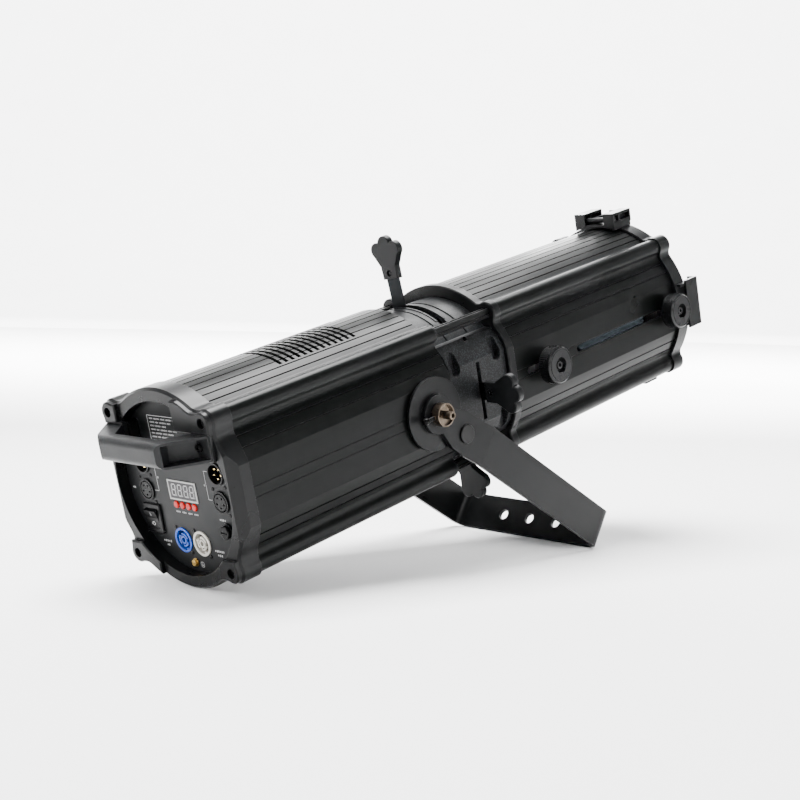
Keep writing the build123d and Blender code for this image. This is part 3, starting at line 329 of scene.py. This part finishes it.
MATERIALS = {
    "extrusion": anodised(),
    "casting": coated("coated_casting", 0.002, 0.30, gloss=0.17),
    "gate_metal": cast_gate(),
    "dark_screw": metal("blackened_steel", grey(0.02), 0.34),
    "handle_plastic": moulded("handle_plastic", 0.004, 0.40, gloss=0.2, grain=1300, depth=0.0003),
    "panel": coated("panel_paint", 0.0035, 0.42, grain=2200, depth=0.00003, edge=0.0002),
    "connector_black": moulded(
        "connector_shell", 0.002, 0.30, gloss=0.12, grain=2500, depth=0.00003, edge=0.0002
    ),
    "contact_brass": metal("gold_contacts", (0.95, 0.70, 0.30), 0.22),
    "inlet_blue": glossy("socket_blue", (0.004, 0.045, 0.30)),
    "outlet_grey": glossy("socket_pale", (0.42, 0.40, 0.36)),
    "display_lens": smoked_window(),
    "display_frame": glossy("display_frame", (0.30, 0.30, 0.29), 0.35),
    "button_red": glossy("button_red", (0.34, 0.004, 0.003), 0.22),
    "bright_steel": clamp_steel(),
    "ground_brass": metal("ground_brass", (0.50, 0.33, 0.10), 0.25),
    "board_green": glossy("solder_mask", (0.01, 0.09, 0.03), 0.35),
    "bare_aluminium": metal("bare_aluminium", grey(0.60), 0.38, stretch=(1, 8, 1)),
    "fan_plastic": moulded("fan_plastic", 0.006, 0.5),
    "led_yellow": glossy("led_phosphor", (0.72, 0.58, 0.12), 0.5),
    "optical_glass": glass(),
    "shutter_steel": metal("blued_steel", grey(0.010, COOL), 0.36, stretch=(1, 6, 1)),
    "grip_plastic": moulded("grip_plastic", 0.003, 0.38),
    "knob_plastic": moulded(
        "knob_plastic", 0.003, 0.26, gloss=0.30, grain=2500, depth=0.00001, edge=0.00012
    ),
    "latch_metal": coated("latch_coat", 0.004, 0.38),
    "yoke_paint": coated(
        "yoke_coat", 0.002, 0.32, gloss=0.15, grain=1100, depth=0.0001, edge=0.0008
    ),
}
INK = ink("print_white", 0.42)
SEGMENT = ink("display_segments", 0.28)

for entry in frame["record"]["subparts"]:
    node = NODES[entry["node"]]
    node.data.materials.clear()
    node.data.materials.append(MATERIALS[entry["material_slot"]])


# ---------------------------------------------------------------- mesh helpers

def piece(name, mesh, body, material):
    """Put a bmesh drawn in lamp axes into the row frame as a piece riding on a body."""
    bmesh.ops.recalc_face_normals(mesh, faces=mesh.faces)
    mesh.transform(LAMP)
    data = bpy.data.meshes.new(name)
    mesh.to_mesh(data)
    mesh.free()
    data.materials.append(material)
    obj = bpy.data.objects.new(name, data)
    bpy.context.scene.collection.objects.link(obj)
    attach(obj, body)


def face_at(x, y, z, tilt=0.0):
    """Place for flat marks seen from behind: local Y and Z lie in the face, X goes in."""
    return Matrix.Translation((x, y, z)) @ Matrix.Rotation(tilt, 4, "Y")


def slab(mesh, points, place):
    """Closed printed patch with a convex outline given as (Y, Z) on the placed face."""
    rear = [mesh.verts.new(place @ Vector((-PRINT_T, y, z))) for y, z in points]
    front = [mesh.verts.new(place @ Vector((0, y, z))) for y, z in points]
    mesh.faces.new(rear)
    mesh.faces.new(front[::-1])
    for i in range(len(points)):
        j = (i + 1) % len(points)
        mesh.faces.new((rear[i], rear[j], front[j], front[i]))


def bar(mesh, start, end, width, place):
    """Closed straight printed stroke between two (Y, Z) points."""
    a, b = Vector(start), Vector(end)
    side = (b - a).normalized().orthogonal() * width / 2
    slab(mesh, [a + side, b + side, b - side, a - side], place)


def hoop(mesh, outer, inner, place, thickness=PRINT_T, start=0.0, end=360.0, steps=48):
    """Closed ring, or an arc with flat ends; degrees run from Y towards Z in the placed face."""
    closed = end - start >= 360.0
    count = steps if closed else steps + 1
    corners = [(-thickness, outer), (0, outer), (0, inner), (-thickness, inner)]
    rows = []
    for i in range(count):
        a = radians(start + (end - start) * i / steps)
        rows.append([mesh.verts.new(place @ Vector((x, r * cos(a), r * sin(a)))) for x, r in corners])
    for i in range(steps):
        here, there = rows[i], rows[(i + 1) % count]
        for k in range(4):
            mesh.faces.new((here[k], here[(k + 1) % 4], there[(k + 1) % 4], there[k]))
    if not closed:
        mesh.faces.new(rows[0])
        mesh.faces.new(rows[-1][::-1])


# ---------------------------------------------------------------- display

def display_digits():
    """Four unlit seven-segment eights with their points, leaning to the right."""
    width, height, stroke, lean = 5.4, 11.0, 1.15, 0.10
    half_w, half_h, gap = width / 2, height / 2, 0.22
    dot_r, dot_away = 0.65, 1.0
    dot_angles = [radians(30 * i) for i in range(12)]
    corners = {
        "tl": (half_w, half_h), "tr": (-half_w, half_h),
        "ml": (half_w, 0), "mr": (-half_w, 0),
        "bl": (half_w, -half_h), "br": (-half_w, -half_h),
    }
    segments = ("tl tr", "ml mr", "bl br", "tl ml", "tr mr", "ml bl", "mr br")
    mesh = bmesh.new()
    place = face_at(PANEL_X - WINDOW_PROUD, 0, DISPLAY_Z)
    for digit in range(4):
        centre = BUTTON_PITCH * (1.5 - digit)
        for segment in segments:
            a, b = [Vector(corners[corner]) for corner in segment.split()]
            along = (b - a).normalized()
            across = along.orthogonal() * stroke / 2
            a, b = a + along * gap, b - along * gap
            tip = along * stroke / 2
            outline = [a, a + tip + across, b - tip + across, b, b - tip - across, a + tip - across]
            slab(mesh, [(centre + y - lean * z, z) for y, z in outline], place)
        dot_y = centre - half_w - dot_away + lean * half_h
        dot = [(dot_y + dot_r * cos(a), dot_r * sin(a) - half_h) for a in dot_angles]
        slab(mesh, dot, place)
    piece("display_digits", mesh, "housing", SEGMENT)


# ---------------------------------------------------------------- printed marks

def dashes(mesh, y, z, width, height, count, place):
    """A row of short strokes where a word would be; the first of every three is lower."""
    pitch = width / count
    for i in range(count):
        tall = height * (1.0 if i % 3 else 0.72)
        at = y + width / 2 - pitch * (i + 0.5)
        bar(mesh, (at, z - tall / 2), (at, z + tall / 2), pitch * 0.5, place)


def panel_print():
    """Brackets that pair the sockets, the earth mark and strokes in place of words."""
    bracket_y, bracket_reach = 38.5, 6.5
    bracket_top, bracket_low = XLR_MALE_Z + 1.0, XLR_FEMALE_Z + 0.5
    pair_word_y, socket_word_y = 36.0, 79.0
    button_word_z = -27.7
    fuse_word_y, fuse_word_z = -53.4, -28.0
    power_words = ((41.3, (13.0, 5.0)), (-38.7, (14.5, 8.0)))      # Y and the two rows' widths
    power_word_z, row_pitch, stroke_pitch = -61.2, 4.2, 2.6
    mesh = bmesh.new()
    place = face_at(PANEL_X, 0, 0)
    for side in (1, -1):
        y, inner_y = side * bracket_y, side * (bracket_y + bracket_reach)
        bar(mesh, (y, bracket_top), (y, bracket_low), LINE_W, place)
        for z in (bracket_top, bracket_low):
            bar(mesh, (y, z), (inner_y, z), LINE_W, place)
        dashes(mesh, side * pair_word_y, (bracket_top + bracket_low) / 2, 1.6, 2.0, 3, place)
        dashes(mesh, side * socket_word_y, XLR_FEMALE_Z, 5.0, 1.8, 3, place)
    for i in range(4):
        dashes(mesh, BUTTON_PITCH * (1.5 - i), button_word_z, 6.6, 1.7, 4 if i % 2 else 5, place)
    dashes(mesh, fuse_word_y, fuse_word_z, 9.5, 2.0, 4, place)
    for y, widths in power_words:
        for row, width in enumerate(widths):
            z = power_word_z - row_pitch * row
            dashes(mesh, y, z, width, 2.1, round(width / stroke_pitch), place)
    earth_mark(mesh)
    piece("panel_print", mesh, "housing", INK)


def earth_mark(mesh):
    """Earth symbol in a ring: a stem on three strokes that get shorter downwards."""
    stem_up, stem_down, stroke_pitch = 1.8, 0.2, 0.7
    place = face_at(PANEL_X, EARTH_Y, EARTH_Z)
    hoop(mesh, 2.9, 2.5, place)
    bar(mesh, (0, stem_up), (0, -stem_down), 0.4, place)
    for row, half in enumerate((1.6, 1.1, 0.6)):
        z = -stem_down - stroke_pitch * row
        bar(mesh, (-half, z), (half, z), LINE_W, place)


def rating_print():
    """Outlined block of strokes in place of the rating text above the handle."""
    left, right, low, high = 33.0, -27.0, 36.0, 67.5
    frame_w, margin_y, margin_z = 0.5, 2.0, 3.0
    row_pitch, letter_h, letter_pitch, space = 3.6, 1.53, 1.5, 1.4
    even_words, odd_words = (7, 11, 8, 10, 6), (9, 6, 12, 7, 8)
    mesh = bmesh.new()
    place = face_at(PANEL_X, 0, 0)
    bar(mesh, (left, high), (right, high), frame_w, place)
    bar(mesh, (left, low), (left, high), frame_w, place)
    for row in range(8):
        z = high - margin_z - row_pitch * row
        y = left - margin_y
        words = odd_words if row % 2 else even_words
        for word in words[:5 - row % 3]:
            dashes(mesh, y - word / 2, z, word - space, letter_h, round(word / letter_pitch), place)
            y -= word
    piece("rating_print", mesh, "housing", INK)


def on_rocker(end):
    """Place on the rocker's face between its middle fold and one end, given as (X, Z)."""
    fold, share = (-3.0, 0.6), 0.36
    dx, dz = end[0] - fold[0], end[1] - fold[1]
    x, z = fold[0] + dx * share, fold[1] + dz * share
    tilt = atan2(dx, dz) if dz > 0 else atan2(-dx, -dz)
    return face_at(PANEL_X + x, SWITCH_Y, SWITCH_Z + z, tilt)


def rocker_marks():
    """I and O on the two halves of the mains rocker."""
    face_high, face_low = (-7.1, 12.5), (-1.7, -15.4)
    mesh = bmesh.new()
    bar(mesh, (0, -1.9), (0, 1.9), 0.6, on_rocker(face_high))
    hoop(mesh, 2.1, 1.5, on_rocker(face_low))
    piece("rocker_marks", mesh, "switch_rocker", INK)


# ---------------------------------------------------------------- small solid details

def power_contacts():
    """Three curved contact blades in the gap of each mains socket."""
    outer, inner, depth, length, arc = 8.9, 8.0, 11.5, 7.5, 30
    mesh = bmesh.new()
    for y in (POWER_IN_Y, POWER_OUT_Y):
        place = face_at(PANEL_X + depth, y, POWER_Z)
        for start in (75, 195, 315):
            hoop(mesh, outer, inner, place, length, start, start + arc, steps=8)
    piece("power_contacts", mesh, "housing", MATERIALS["contact_brass"])


def slot_lips():
    """Raised lips along the shutter slot, over the top and under the bottom of the drum."""
    outer, inner, lip_w, half_arc = DRUM_R + 0.9, DRUM_R - 0.4, 2.2, 32
    rear_x, front_x = SHUTTER_X - 5.0, SHUTTER_X + 7.2
    mesh = bmesh.new()
    for x in (rear_x, front_x):
        for middle in (90, 270):
            hoop(mesh, outer, inner, face_at(x, 0, 0), lip_w, middle - half_arc, middle + half_arc)
    piece("slot_lips", mesh, "housing", MATERIALS["gate_metal"])


display_digits()
panel_print()
rating_print()
rocker_marks()
power_contacts()
slot_lips()


# ---------------------------------------------------------------- stage, light and camera

def floor():
    """Pale seamless floor that runs up into a wall all round, far from the lamp."""
    inner, bend, top, steps = 9.0, 4.0, 10.0, 96
    bend_angles = [radians(a) for a in range(10, 91, 10)]
    profile = [(inner, 0.0)]
    profile += [(inner + bend * sin(a), bend - bend * cos(a)) for a in bend_angles]
    profile.append((inner + bend, top))
    turns = [2 * pi * i / steps for i in range(steps)]
    mesh = bmesh.new()
    rings = [[mesh.verts.new((r * cos(a), r * sin(a), z)) for a in turns] for r, z in profile]
    mesh.faces.new(rings[0])
    for low, high in zip(rings, rings[1:]):
        for i in range(steps):
            j = (i + 1) % steps
            wall = mesh.faces.new((low[i], low[j], high[j], high[i]))
            wall.smooth = True
    data = bpy.data.meshes.new("floor")
    mesh.to_mesh(data)
    mesh.free()
    s = Shader("floor_paper").set(IOR=1.3, Roughness=0.9)
    s.colour(s.ramp(s.noise(3, detail=2), grey(0.90), grey(0.92)))
    data.materials.append(s.material)
    obj = bpy.data.objects.new("floor", data)
    bpy.context.scene.collection.objects.link(obj)


def soft_box(name, position, target, size, watts):
    light = bpy.data.lights.new(name, "AREA")
    light.shape = "RECTANGLE"
    light.size, light.size_y = size
    light.energy = watts
    obj = bpy.data.objects.new(name, light)
    obj.location = position
    obj.rotation_euler = (Vector(target) - Vector(position)).to_track_quat("-Z", "Y").to_euler()
    bpy.context.scene.collection.objects.link(obj)


def world_light(colour, strength):
    world = bpy.data.worlds.new("studio")
    world.use_nodes = True
    background = world.node_tree.nodes["Background"]
    background.inputs["Color"].default_value = (*colour, 1)
    background.inputs["Strength"].default_value = strength
    bpy.context.scene.world = world


def camera():
    """Camera behind the lamp on its right-hand side, a little above it and slightly rolled."""
    position, target = Vector((-1.178, -1.1243, 0.2822)), Vector((0.0, 0.0392, 0.1657))
    lens_mm, sensor_mm, roll = 67.15, 36.0, 1.34
    data = bpy.data.cameras.new("camera")
    data.lens = lens_mm
    data.sensor_width = sensor_mm
    obj = bpy.data.objects.new("camera", data)
    look = (target - position).to_track_quat("-Z", "Y").to_matrix().to_4x4()
    obj.matrix_world = Matrix.Translation(position) @ look @ Matrix.Rotation(radians(roll), 4, "Z")
    bpy.context.scene.collection.objects.link(obj)
    bpy.context.scene.camera = obj


SKY = (0.93, 0.96, 1.0)
SKY_STRENGTH = 0.24
CENTRE = (0.0, 0.0, 0.2)
SOFT_BOXES = (           # name, position, target, size and watts
    ("top_box", (0.1, 0.5, 2.4), CENTRE, (2.4, 1.4), 340),
    ("side_box", (-0.4, -2.6, 1.3), CENTRE, (2.2, 1.0), 32),
    ("low_box", (0.7, -2.4, 0.45), (0.1, 0.0, 0.05), (2.2, 0.5), 30),
    ("rear_box", (-2.6, 0.6, 1.2), CENTRE, (1.0, 1.2), 60),
    ("front_box", (2.4, 1.4, 1.4), CENTRE, (1.0, 1.2), 60),
    ("wall_box", (2.0, 2.0, 4.2), (9.0, 9.0, 0.8), (6.0, 2.0), 5500),
)

floor()
world_light(SKY, SKY_STRENGTH)
for box in SOFT_BOXES:
    soft_box(*box)
camera()
